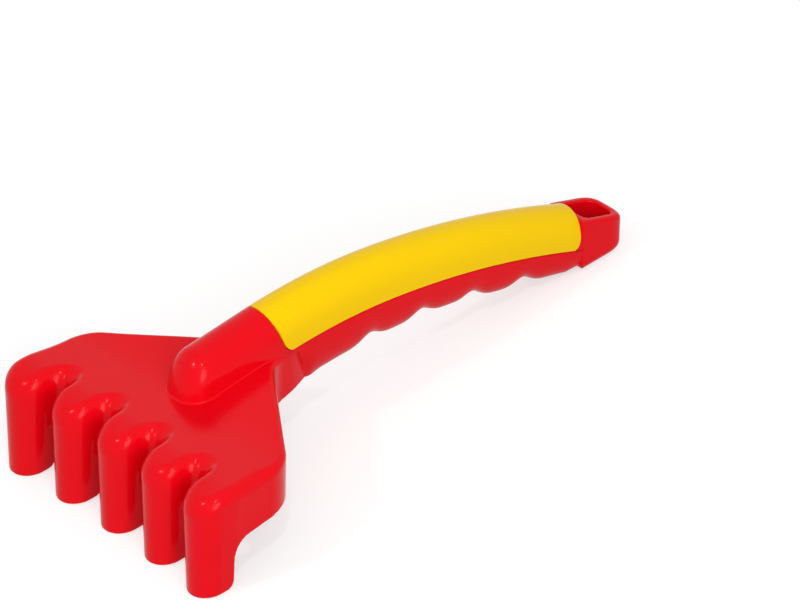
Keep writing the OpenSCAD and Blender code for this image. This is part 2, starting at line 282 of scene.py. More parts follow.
class StudioSetup(bpy.types.PropertyGroup):
    """Camera and lamps"""

    ambient: bpy.props.FloatProperty(
        name="Ambient", description="Strength of the even light from all round",
        default=0.62, min=0.0)
    key: bpy.props.FloatProperty(
        name="Key Lamp", description="Power of the large lamp",
        default=11.5, min=0.0, unit="POWER")
    spark: bpy.props.FloatProperty(
        name="Small Lamps", description="Power of each small lamp",
        default=2.5, min=0.0, unit="POWER")
    lens: bpy.props.FloatProperty(
        name="Lens", description="Focal length of the camera",
        default=314.05, min=20.0, unit="CAMERA")


# ------------------------------------------------- shape of the rake's lines

def blend(y, start, end):
    """Goes smoothly from 0 at the start to 1 at the end."""
    t = np.clip((y - start) / (end - start), 0.0, 1.0)
    return t * t * (3.0 - 2.0 * t)


def crest(y):
    """Height of the grip's crest: a straight ramp, then a flat arch."""
    slope = 2.0 * RAMP_FALL / (CREST_PLACE - RAMP_END)
    ramp = CREST_HEIGHT - RAMP_FALL - slope * (RAMP_END - y)
    rise = CREST_HEIGHT - RAMP_FALL * ((CREST_PLACE - y) / (CREST_PLACE - RAMP_END)) ** 2
    fall = CREST_HEIGHT - CREST_FALL * ((y - CREST_PLACE) / (COVER_REAR - CREST_PLACE)) ** 2
    return np.where(y < RAMP_END, ramp, np.where(y < CREST_PLACE, rise, fall))


def seam_line(y):
    """Height of the seam under the cover."""
    at = np.clip(y, COVER_FRONT, COVER_REAR)
    share = (at - COVER_FRONT) / (COVER_REAR - COVER_FRONT)
    return crest(at) - DROP_FRONT + (DROP_FRONT - DROP_REAR) * share


def head_top(y):
    """Height of the head's top, with its lift into the neck."""
    return HEAD_HEIGHT + HEAD_RISE * y + HEAD_LIFT * blend(y, *LIFT)


def skirt_edge(x, y, outer):
    """Lower edge of the skirt, with the hollow curve behind each outer tine."""
    near = 1.0 - np.clip((y - SIDE_START) / HEEL_RADIUS, 0.0, 1.0)
    dip = HEEL_RADIUS * (1.0 - np.sqrt(1.0 - near ** 2))
    return SKIRT_HEIGHT + SKIRT_RISE * y - np.where(np.abs(x) > outer, dip, 0.0)


def rounded(a, b, radius):
    """The space inside both a and b, with their common edge rounded."""
    p, q = a + radius, b + radius
    corner = np.hypot(np.maximum(p, 0.0), np.maximum(q, 0.0))
    return np.minimum(np.maximum(p, q), 0.0) + corner - radius


def joined(a, b, width):
    """The space inside a or b, with a smooth blend between them."""
    h = np.clip(0.5 + 0.5 * (b - a) / width, 0.0, 1.0)
    return b + (a - b) * h - width * h * (1.0 - h)


def squarish(a, b, power):
    """Distance from the middle along curves between a circle, 2, and a square."""
    return (a ** power + b ** power) ** (1.0 / power)


class RakeForm:
    """The red moulding as one distance field, negative inside, in millimetres."""

    def __init__(self, sizes, gap):
        self.pitch = sizes.tine_pitch / MM
        self.count = sizes.tine_count
        self.tine_half = sizes.tine_width / MM / 2.0
        self.depth = sizes.tine_depth / MM
        self.top_radius = sizes.top_radius / MM
        self.valley = sizes.valley_radius / MM
        self.nose_blend = sizes.nose_blend / MM
        self.half = sizes.grip_width / MM / 2.0
        self.finger_depth = sizes.finger_depth / MM
        self.wall = sizes.wall / MM
        self.lip = sizes.lip / MM
        self.gap = gap
        self.outer = ROW_HALF * self.pitch
        self.widening = TINE_DRAFT * (HEAD_HEIGHT - self.top_radius)
        self.front_half = self.outer + self.tine_half + self.widening
        self.places = [(i - (self.count - 1) / 2.0) * self.pitch for i in range(self.count)]

    def setback(self, x):
        """How far a tine stands behind the outer ones, on the bend of the row."""
        return ROW_BEND * (1.0 - (x / self.outer) ** 2)

    def head_side(self, x, y, z):
        """Distance to the head's side: drafted front, shoulder arc, flank and hollow neck."""
        wide = np.abs(x) + NECK_TAPER * blend(y, NECK_END - NECK_TAPER_LENGTH, NECK_END)
        cos, sin = math.sin(FLANK), math.cos(FLANK)
        cx = SIDE_HALF - SHOULDER_RADIUS
        sx, sy = cx + SHOULDER_RADIUS * cos, SIDE_END + SHOULDER_RADIUS * sin
        nx = NECK_HALF + NECK_RADIUS * (1.0 - cos)
        ny = sy + (sx - nx) * math.tan(FLANK) + NECK_RADIUS * sin
        px, py = wide - cx, y - SIDE_END
        qx, qy = NECK_HALF + NECK_RADIUS - wide, ny - y
        front = np.clip(-py / (SIDE_END - SIDE_START), 0.0, 1.0)
        draft = np.maximum(self.widening - TINE_DRAFT * z, 0.0) * blend(-y, -SIDE_END, -SIDE_START)
        side = wide - SIDE_HALF - (self.front_half - SIDE_HALF) * front + draft
        flank = (wide - sx) * cos + (y - sy) * sin
        side = np.where(py > 0.0, np.hypot(px, py) - SHOULDER_RADIUS, side)
        side = np.where((py > 0.0) & (py * cos > px * sin), flank, side)
        bow = (qy > 0.0) & (qy * cos < qx * sin) & (flank < FLANK_REACH) & (y > sy)
        side = np.where(bow, NECK_RADIUS - np.hypot(qx, qy), side)
        side = np.where(qy <= 0.0, wide - NECK_HALF, side)
        return rounded(side, y - NECK_END, NECK_ROUND)

    def web(self, x, y):
        """Distance to the front of the web, which swings forward at each tine."""
        near = 0.5 + 0.5 * np.cos(2.0 * math.pi * x / self.pitch)
        return WEB_PLACE - WEB_CURVE * near + self.setback(x) - y

    def tine_plan(self, x, y, z, place):
        """Outline of a tine that widens upwards: straight sides and a round front."""
        reach = TINE_DRAFT * np.clip(z, 0.0, HEAD_HEIGHT - self.top_radius)
        dx = x - place
        dy = np.minimum(y - self.setback(place) - self.tine_half, 0.0)
        return np.hypot(dx, dy) - self.tine_half - reach

    def top(self, x, y, z):
        """Height over the head's top, which falls towards the front of each tine."""
        ahead = np.clip(1.0 - (y - self.setback(x)) / self.depth, 0.0, 2.0)
        t = np.clip((y - LIFT[0]) / (LIFT[1] - LIFT[0]), 0.0, 1.0)
        slope = HEAD_RISE + HEAD_LIFT * 6.0 * t * (1.0 - t) / (LIFT[1] - LIFT[0])
        slope = slope + 2.0 * TINE_TOP_FALL * ahead / self.depth
        return (z - head_top(y) + TINE_TOP_FALL * ahead ** 2) / np.sqrt(1.0 + slope ** 2)

    def edge_radius(self, x, y):
        """Rounding of the upper edge: smaller on the flanks, larger in the valleys."""
        middle = 0.5 - 0.5 * np.cos(2.0 * math.pi * x / self.pitch)
        between = blend(middle, *WEB_EASE_SHARE) * (1.0 - blend(y, *WEB_EASE_PLACE))
        edge = self.top_radius - EDGE_EASE * blend(y, *EDGE_EASE_PLACE)
        return edge + WEB_EASE * between * (np.abs(x) < self.outer)

    def under_line(self, y):
        """Height of the grip's underside, with the finger hollows."""
        fore = UNDER_HEIGHT - NECK_FALL * ((UNDER_PLACE - y) / (UNDER_PLACE - NECK_END)) ** 2
        aft = UNDER_HEIGHT - TAIL_DROP * ((y - UNDER_PLACE) / (COVER_REAR - UNDER_PLACE)) ** 2
        line = np.where(y < UNDER_PLACE, fore, aft)
        line = line - UNDER_SAG * blend(y, *UNDER_SAG_PLACE)
        for i in range(FINGERS):
            u = np.clip((y - FINGER_START - i * FINGER_PITCH) / FINGER_PITCH, -0.5, 0.5)
            line = line + self.finger_depth * (0.5 + 0.5 * np.cos(2.0 * math.pi * u)) ** 2
        return line

    def floor(self, y, depth):
        """Underside of the grip: inside the head's top by some depth, then free."""
        b = blend(y, NECK_END - FLOOR_START, NECK_END - FLOOR_STOP)
        line = (1.0 - b) * (head_top(y) - depth) + b * self.under_line(y)
        return np.maximum(line, math.tan(TILT) * y + UNDER_CLEARANCE)

    def section(self, x, z, centre, low):
        """Size of a point in a section of the grip, where 1 is its outline, and its slopes."""
        upper = z > centre
        p = np.where(upper, 2.0 / CROWN_FULLNESS, 2.0 / BELLY_FULLNESS)
        b = np.where(upper, CROWN_DEPTH, np.maximum(centre - low, BELLY_DEPTH))
        sx, sz = x / self.half, np.abs(z - centre) / b
        g = np.maximum(squarish(sx, sz, p), 1e-4)
        across = (sx / g) ** (p - 1.0) / self.half
        up = (sz / g) ** (p - 1.0) / b * np.where(upper, 1.0, -1.0)
        return g, across, up

    def grip(self, x, y, z):
        """The grip's solid section, from a floor up to the crest, round at its nose."""
        wide, low, top = np.abs(x), self.floor(y, GRIP_ROOT), crest(y)
        g, across, up = self.section(wide, z, top - CROWN_DEPTH, low)
        d = (g - 1.0) / np.maximum(np.hypot(across, up), LEAST_SLOPE)
        nose = y < NOSE_START + NOSE_LENGTH
        if np.any(nose):
            wide, y, top, low = wide[nose], y[nose], top[nose], low[nose]
            high = np.maximum(z[nose] - low, LEAST_HEIGHT)
            size = np.maximum(np.maximum(wide / self.half, high / (top - low)), LEAST_SIZE)
            for _ in range(NOSE_STEPS):
                g, across, up = self.section(wide / size, low + high / size, top - CROWN_DEPTH, low)
                growth = np.maximum((across * wide + up * high) / size, LEAST_GROWTH)
                size = size * (1.0 + np.clip((g - 1.0) / growth, *SIZE_CHANGE))
            u = (NOSE_START + NOSE_LENGTH - y) / NOSE_LENGTH
            whole = squarish(size, u, NOSE_POWER)
            turn = (size / whole) ** (NOSE_POWER - 1.0) * np.hypot(across, up) / growth
            ahead = (u / whole) ** (NOSE_POWER - 1.0) / NOSE_LENGTH
            d[nose] = (whole - 1.0) / np.maximum(np.hypot(turn, ahead), LEAST_SLOPE)
        return np.clip(d, *FIELD_RANGE)

    def zone(self, y, z):
        """Side view of the space that the cover takes up."""
        seam = seam_line(y)
        h = np.maximum(z - seam, 1e-3)
        s = np.sqrt(np.clip(h / CORNER_RADIUS, 1e-3, 1.0))
        bulge = CORNER_RADIUS * (1.0 - s) ** 2
        slant = (1.0 - s) / s
        fore_lean, aft_lean = FRONT_LEAN / DROP_FRONT, REAR_LEAN / DROP_FRONT
        fore = (COVER_FRONT - fore_lean * h + bulge - y) / np.sqrt(1.0 + (fore_lean + slant) ** 2)
        aft = (y - COVER_REAR - aft_lean * h + bulge) / np.sqrt(1.0 + (aft_lean + slant) ** 2)
        return np.maximum(np.maximum(fore, aft), seam - z)

    def hole(self, x, y):
        """Outline of the hanging hole: round at the back, with two corners at the front."""
        back = squarish(np.abs(x), np.abs(y - HOLE_BACK), TAIL_POWER) - HOLE_HALF
        front = rounded(np.abs(x) - HOLE_HALF, HOLE_FRONT - y, HOLE_CORNER)
        return np.where(y > HOLE_BACK, back, front)

    def tail(self, x, y, z):
        """The block at the grip's end, before the hole is cut."""
        centre = TAIL_END - self.half
        plan = squarish(np.abs(x), np.maximum(y - centre, 0.0), TAIL_POWER) - self.half
        plan = np.maximum(plan, TAIL_START - y)
        top = (z - TAIL_HEIGHT + TAIL_FALL * (y - COVER_REAR)) / math.hypot(1.0, TAIL_FALL)
        ground = (math.tan(TILT) * y - z) * math.cos(TILT)
        d = rounded(plan, top, TAIL_TOP_RADIUS)
        return np.maximum(d, rounded(plan, ground, TAIL_UNDER_RADIUS))

    def __call__(self, x, y, z):
        """The whole moulding: tines and head, grip and tail, less their hollows."""
        wall, lip = self.wall, self.lip
        side, web = self.head_side(x, y, z), self.web(x, y)
        top, edge = self.top(x, y, z), self.edge_radius(x, y)
        skirt = skirt_edge(x, y, self.outer) - z
        ground = (math.tan(TILT) * y - z) * math.cos(TILT)

        plan, tines, channels = web, FAR, FAR
        for place in self.places:
            back = self.depth + self.setback(place) - y
            tine = self.tine_plan(x, y, z, place)
            plan = joined(plan, np.maximum(tine, -back - TINE_ROOT), self.valley)
            heel = np.hypot(np.maximum(TIP_CORNER - back, 0.0),
                            np.maximum(TIP_CORNER + ground, 0.0)) - TIP_CORNER
            foot = rounded(rounded(tine, ground, lip), np.maximum(-back, heel), TINE_BACK_EDGE)
            tines = np.minimum(tines, foot)
            inner = rounded(tine + wall, top + CHANNEL_ROOF * wall, self.top_radius - wall)
            channels = np.minimum(channels, np.maximum(inner, -back - self.top_radius))
        plan = np.maximum(plan, side)
        upper = rounded(rounded(plan, top, edge), skirt, lip / 2.0)
        lower = np.maximum(tines, top + self.top_radius + TINE_OVERLAP)
        moulding = np.minimum(upper, lower)

        grip = self.grip(x, y, z)
        bottom = self.floor(y, wall / 2.0) - z
        handle = np.maximum(np.maximum(grip, bottom), y - TAIL_START - TAIL_OVERLAP)
        width = self.nose_blend * (1.0 - NOSE_BLEND_LOSS * blend(y, *NOSE_BLEND_PLACE))
        moulding = joined(moulding, handle, width + NECK_BLEND * blend(y, *NECK_BLEND_PLACE))
        moulding = joined(moulding, self.tail(x, y, z), TAIL_BLEND)

        head = np.maximum(side, web) + wall
        hollow = rounded(head, top + wall, np.maximum(edge - wall, LEAST_RADIUS))
        hollow = np.maximum(hollow, SKIRT_HEIGHT - z)
        core = np.maximum(np.maximum(grip + wall, y - NOSE_HOLLOW_END), -(top + ROOF_DEPTH))
        trough = np.maximum(TROUGH_FRONT - y, y - TROUGH_BACK)
        trough = np.maximum(np.maximum(grip + wall, bottom + wall), trough)
        hollow = np.minimum(np.minimum(hollow, core), np.minimum(trough, channels))
        plug = np.maximum(grip + PLUG_DEPTH, TROUGH_BACK - y)
        cover = np.maximum(self.zone(y, z) - self.gap, -plug)
        moulding = rounded(moulding, -hollow, lip / 2.0)
        moulding = rounded(moulding, -cover, COVER_EDGE)
        return rounded(moulding, -self.hole(x, y), HOLE_EDGE)


# ------------------------------------------------------ mesh of a form

CELL_CORNERS = [(i, j, k) for i in (0, 1) for j in (0, 1) for k in (0, 1)]
CELL_EDGES = [(a, b) for a in range(8) for b in range(a + 1, 8)
              if sum(p != q for p, q in zip(CELL_CORNERS[a], CELL_CORNERS[b])) == 1]


def upright(points):
    """Places of the frame, in the drawing's own upright frame."""
    along, high = points[1] + REACH / 2.0, points[2]
    c, s = math.cos(TILT), math.sin(TILT)
    return points[0], along * c - high * s, along * s + high * c


def sample(form, points):
    """Values of a form at places of the frame, worked out piece by piece."""
    values = np.empty(points.shape[1])
    for at in range(0, values.size, BATCH):
        values[at:at + BATCH] = form(*upright(points[:, at:at + BATCH]))
    return values


def gradient(form, points, reach=0.05):
    """How fast a form's value grows along each axis."""
    slopes = np.empty_like(points)
    for axis in range(3):
        shift = np.zeros((3, 1))
        shift[axis] = reach
        ahead, behind = sample(form, points + shift), sample(form, points - shift)
        slopes[axis] = (ahead - behind) / (2.0 * reach)
    return slopes


def settle(form, points, rounds, limit):
    """Moves points onto the surface of a form, along its gradient."""
    for _ in range(rounds):
        slopes = gradient(form, points)
        share = sample(form, points) / np.maximum((slopes ** 2).sum(axis=0), LEAST_SQUARE)
        points = points - np.clip(share, -limit, limit) * slopes
    return points


def spread(field, block):
    """Each value repeated over a block of cells."""
    for axis in range(3):
        field = np.repeat(field, block, axis)
    return field


def net(form, low, high, step):
    """Points and quads on the surface of a form, from a grid of cells."""
    cells = [int(math.ceil((b - a) / (step * BLOCK))) * BLOCK for a, b in zip(low, high)]
    axes = [a + step * np.arange(n + 1) for a, n in zip(low, cells)]
    middles = [(axis[:-1:BLOCK] + step * BLOCK / 2.0) for axis in axes]
    rough = sample(form, np.array(np.meshgrid(*middles, indexing="ij")).reshape(3, -1))
    rough = rough.reshape([len(m) for m in middles])
    near = spread(np.abs(rough) < NEAR * step * BLOCK * math.sqrt(3.0) / 2.0, BLOCK)
    wanted = np.zeros([n + 1 for n in cells], bool)
    values = np.ones(wanted.shape)
    inner = spread(rough < 0.0, BLOCK)
    for i, j, k in CELL_CORNERS:
        part = tuple(slice(d, d + n) for d, n in zip((i, j, k), cells))
        wanted[part] |= near
        values[part][inner & ~near] = -1.0
    chosen = np.array(np.nonzero(wanted))
    places = np.array([axis[index] for axis, index in zip(axes, chosen)])
    values[wanted] = sample(form, places)

    inside = values < 0.0
    corners = [inside[tuple(slice(d, d + n) for d, n in zip(c, cells))] for c in CELL_CORNERS]
    count = sum(c.astype(np.int8) for c in corners)
    active = (count > 0) & (count < 8)
    index = np.full(active.shape, -1)
    index[active] = np.arange(active.sum())
    cell = np.array(np.nonzero(active))
    at = [values[tuple(cell + np.array(c)[:, None])] for c in CELL_CORNERS]
    total, crossings = np.zeros(cell.shape), np.zeros(cell.shape[1])
    for a, b in CELL_EDGES:
        crossing = (at[a] < 0.0) != (at[b] < 0.0)
        share = np.where(crossing, at[a] / np.where(crossing, at[a] - at[b], 1.0), 0.0)
        first, second = np.array(CELL_CORNERS[a])[:, None], np.array(CELL_CORNERS[b])[:, None]
        total += crossing * (first + (second - first) * share)
        crossings += crossing
    points = np.array(low)[:, None] + step * (cell + total / crossings)

    quads = []
    for axis in range(3):
        u, v = (axis + 1) % 3, (axis + 2) % 3
        span = [slice(1, n) for n in cells]
        span[axis] = slice(0, cells[axis])
        ahead = list(span)
        ahead[axis] = slice(1, cells[axis] + 1)
        first, second = inside[tuple(span)], inside[tuple(ahead)]
        for crossing, order in ((first & ~second, 1), (~first & second, -1)):
            edge = np.array(np.nonzero(crossing))
            for other in (u, v):
                edge[other] += 1
            ring = []
            for du, dv in ((1, 1), (0, 1), (0, 0), (1, 0)):
                corner = edge.copy()
                corner[u] -= 1 - du
                corner[v] -= 1 - dv
                ring.append(index[tuple(corner)])
            quads.append(np.array(ring[::order]).T)
    return points, np.concatenate(quads)


def relax(points, quads):
    """Each point moved halfway to the middle of its neighbours."""
    size = points.shape[1]
    total, count = np.zeros_like(points), np.zeros(size)
    for side in range(4):
        here, there = quads[:, side], quads[:, (side + 1) % 4]
        for a, b in ((here, there), (there, here)):
            count += np.bincount(a, minlength=size)
            for axis in range(3):
                total[axis] += np.bincount(a, points[axis][b], size)
    return 0.5 * points + 0.5 * total / count


def keep_mesh(obj):
    """The evaluated object as a plain mesh, without its modifiers."""
    graph = bpy.context.evaluated_depsgraph_get()
    mesh = bpy.data.meshes.new_from_object(obj.evaluated_get(graph), depsgraph=graph)
    obj.modifiers.clear()
    old, obj.data = obj.data, mesh
    bpy.data.meshes.remove(old)
    mesh.name = obj.name
    return mesh


# ------------------------------------------------------ node trees

class Flow:
    """A value in a node tree, which ordinary arithmetic builds upon."""

    def __init__(self, tree, socket):
        self.tree, self.socket = tree, socket

    def math(self, operation, *others):
        node = self.tree.nodes.new("ShaderNodeMath")
        node.operation = operation
        for place, value in zip(node.inputs, (self,) + others):
            if isinstance(value, Flow):
                self.tree.links.new(value.socket, place)
            else:
                place.default_value = value
        return Flow(self.tree, node.outputs[0])

    def __add__(self, other):
        return self.math("ADD", other)

    def __sub__(self, other):
        return self.math("SUBTRACT", other)

    def __mul__(self, other):
        return self.math("MULTIPLY", other)

    def __truediv__(self, other):
        return self.math("DIVIDE", other)

    def __pow__(self, other):
        return self.math("POWER", other)

    def __rsub__(self, other):
        return self * -1.0 + other

    __radd__, __rmul__ = __add__, __mul__

    def low(self, other):
        return self.math("MINIMUM", other)

    def high(self, other):
        return self.math("MAXIMUM", other)

    def root(self):
        return self.math("SQRT")


class Tree:
    """A geometry node tree with named inputs."""

    def __init__(self, name):
        self.tree = bpy.data.node_groups.new(name, "GeometryNodeTree")
        self.nodes, self.links = self.tree.nodes, self.tree.links
        self.tree.interface.new_socket(
            "Geometry", in_out="OUTPUT", socket_type="NodeSocketGeometry")
        self.given = {}
        self.source = self.nodes.new("NodeGroupInput")

    def size(self, name, value, kind="NodeSocketFloat"):
        """A named input of the tree, as a value to build upon."""
        self.tree.interface.new_socket(name, in_out="INPUT", socket_type=kind)
        self.given[name] = value
        return Flow(self.tree, self.source.outputs[name])

    def node(self, kind, links=(), **settings):
        node = self.nodes.new(kind)
        for name, value in settings.items():
            setattr(node, name, value)
        for place, value in dict(links).items():
            target = node.inputs[place]
            if isinstance(value, Flow):
                self.links.new(value.socket, target)
            elif isinstance(value, bpy.types.NodeSocket):
                self.links.new(value, target)
            else:
                target.default_value = value
        return node

    def vector(self, x, y, z):
        return self.node("ShaderNodeCombineXYZ", {0: x, 1: y, 2: z}).outputs[0]

    def finish(self, geometry, material):
        real = self.node("GeometryNodeRealizeInstances", {0: geometry}).outputs[0]
        painted = self.node("GeometryNodeSetMaterial", {"Geometry": real, "Material": material})
        self.node("NodeGroupOutput", {0: painted.outputs[0]})

    def build(self, name):
        """A plain mesh object from the tree, seated in the frame."""
        obj = bpy.data.objects.new(name, bpy.data.meshes.new(name))
        bpy.context.collection.objects.link(obj)
        modifier = obj.modifiers.new(self.tree.name, "NODES")
        modifier.node_group = self.tree
        for item in self.tree.interface.items_tree:
            if item.item_type == "SOCKET" and item.in_out == "INPUT":
                modifier[item.identifier] = self.given[item.name]
        mesh = keep_mesh(obj)
        if not mesh.polygons:
            raise RuntimeError(f"{name} came out empty")
        mesh.transform(seat())
        mesh.update()
        return obj


def seat():
    """Turns the upright drawing, in millimetres, onto its tips and tail, in metres."""
    turn = Matrix.Rotation(-TILT, 4, "X")
    return Matrix.Scale(MM, 4) @ Matrix.Translation((0.0, -REACH / 2.0, 0.0)) @ turn


def crest_flow(y):
    """Height of the crest behind the ramp, as nodes."""
    rise = (CREST_PLACE - y).high(0.0) / (CREST_PLACE - RAMP_END)
    fall = (y - CREST_PLACE).high(0.0) / (COVER_REAR - CREST_PLACE)
    return CREST_HEIGHT - rise * rise * RAMP_FALL - fall * fall * CREST_FALL


def drop_flow(y):
    """Depth of the cover from its crest to its seam, as nodes."""
    share = ((y - COVER_FRONT) / (COVER_REAR - COVER_FRONT)).high(0.0).low(1.0)
    return share * (DROP_REAR - DROP_FRONT) + DROP_FRONT


def new_material(name):
    """An empty material and its node tree."""
    material = bpy.data.materials.new(name)
    material.use_nodes = True
    tree = material.node_tree
    tree.nodes.clear()
    return material, tree


def moulded_plastic(name, base, deep, gloss, sheen):
    """Glossy moulded plastic: faint flow marks, uneven gloss and a fine mould texture."""
    material, tree = new_material(name)

    def node(kind, inputs=None, **settings):
        made = tree.nodes.new(kind)
        for key, value in settings.items():
            setattr(made, key, value)
        for key, value in (inputs or {}).items():
            if isinstance(value, bpy.types.NodeSocket):
                tree.links.new(value, made.inputs[key])
            else:
                made.inputs[key].default_value = value
        return made

    place = node("ShaderNodeTexCoord").outputs["Object"]
    along = node("ShaderNodeMapping", {"Vector": place, "Scale": (1.0, 0.35, 1.0)}).outputs[0]
    flow = node("ShaderNodeTexNoise", {
        "Vector": along, "Scale": 38.0, "Detail": 4.0, "Roughness": 0.55, "Distortion": 0.6})
    marks = node("ShaderNodeMapRange", {
        "Value": flow.outputs[0], "From Min": 0.35, "From Max": 0.72,
        "To Min": 0.0, "To Max": 0.45})
    tint = node("ShaderNodeMix", data_type="RGBA")
    tree.links.new(marks.outputs[0], tint.inputs[0])
    tint.inputs[6].default_value = (*base, 1.0)
    tint.inputs[7].default_value = (*deep, 1.0)
    haze = node("ShaderNodeTexNoise", {
        "Vector": place, "Scale": 160.0, "Detail": 5.0, "Roughness": 0.6})
    rough = node("ShaderNodeMapRange", {
        "Value": haze.outputs[0], "From Min": 0.3, "From Max": 0.7,
        "To Min": gloss[0], "To Max": gloss[1]})
    grain = node("ShaderNodeTexNoise", {
        "Vector": place, "Scale": 1500.0, "Detail": 2.0, "Roughness": 0.5})
    waves = node("ShaderNodeTexNoise", {"Vector": place, "Scale": 90.0, "Detail": 2.0})
    fine = node("ShaderNodeBump", {
        "Height": grain.outputs[0], "Strength": 0.05, "Distance": 0.0002})
    soft = node("ShaderNodeBump", {
        "Height": waves.outputs[0], "Strength": 0.10, "Distance": 0.0006,
        "Normal": fine.outputs[0]})
    shader = node("ShaderNodeBsdfPrincipled", {
        "Base Color": tint.outputs[2], "Roughness": rough.outputs[0], "Normal": soft.outputs[0],
        "IOR": 1.5, "Specular IOR Level": sheen,
    })
    out = node("ShaderNodeOutputMaterial")
    tree.links.new(shader.outputs[0], out.inputs[0])
    return material


def finish_piece(obj, node):
    """Fastens a piece to the rake in place of one node of the frame."""
    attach(obj, "root")
    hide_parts(node)


# ------------------------------------------------------ operators

class RAKE_OT_body(bpy.types.Operator):
    """Build the red moulding: tines, head, grip and tail"""

    bl_idname = "rake.body"
    bl_label = "Rake Body"

    def execute(self, context):
        sizes, cover = context.scene.rake_body, context.scene.rake_cover
        paint = context.scene.rake_colours
        form = RakeForm(sizes, cover.seam_gap / MM)
        step = sizes.step / MM
        low, high = [Vector(corner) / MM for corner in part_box("rake_body")]
        margin = Vector((MARGIN, MARGIN, MARGIN))
        points, quads = net(form, low - margin, high + margin, step)
        if not len(quads):
            raise RuntimeError("the rake's body came out empty")
        points = settle(form, points, 1, step)
        points = settle(form, relax(points, quads), 2, step)
        mesh = bpy.data.meshes.new("rake_moulding")
        mesh.from_pydata(points.T.tolist(), [], quads.tolist())
        obj = bpy.data.objects.new("rake_moulding", mesh)
        context.collection.objects.link(obj)
        faces = 2 * len(quads)
        if faces > sizes.face_limit:
            thin = obj.modifiers.new("Thin", "DECIMATE")
            thin.ratio = sizes.face_limit / faces
            mesh = keep_mesh(obj)
            points = np.empty(3 * len(mesh.vertices))
            mesh.vertices.foreach_get("co", points)
            points = settle(form, points.reshape(-1, 3).T, 1, SETTLE_LIMIT)
            mesh.vertices.foreach_set("co", points.T.ravel())
        normals = gradient(form, points, NORMAL_REACH)
        normals /= np.maximum(np.sqrt((normals ** 2).sum(axis=0)), 1e-6)
        mesh.polygons.foreach_set("use_smooth", [True] * len(mesh.polygons))
        mesh.transform(Matrix.Scale(MM, 4))
        mesh.update()
        mesh.normals_split_custom_set_from_vertices(normals.T.tolist())
        mesh.materials.append(moulded_plastic(
            "Red Moulded Plastic", paint.body, paint.body_deep, RED_GLOSS, RED_SHEEN))
        finish_piece(obj, "rake_body")
        return {"FINISHED"}


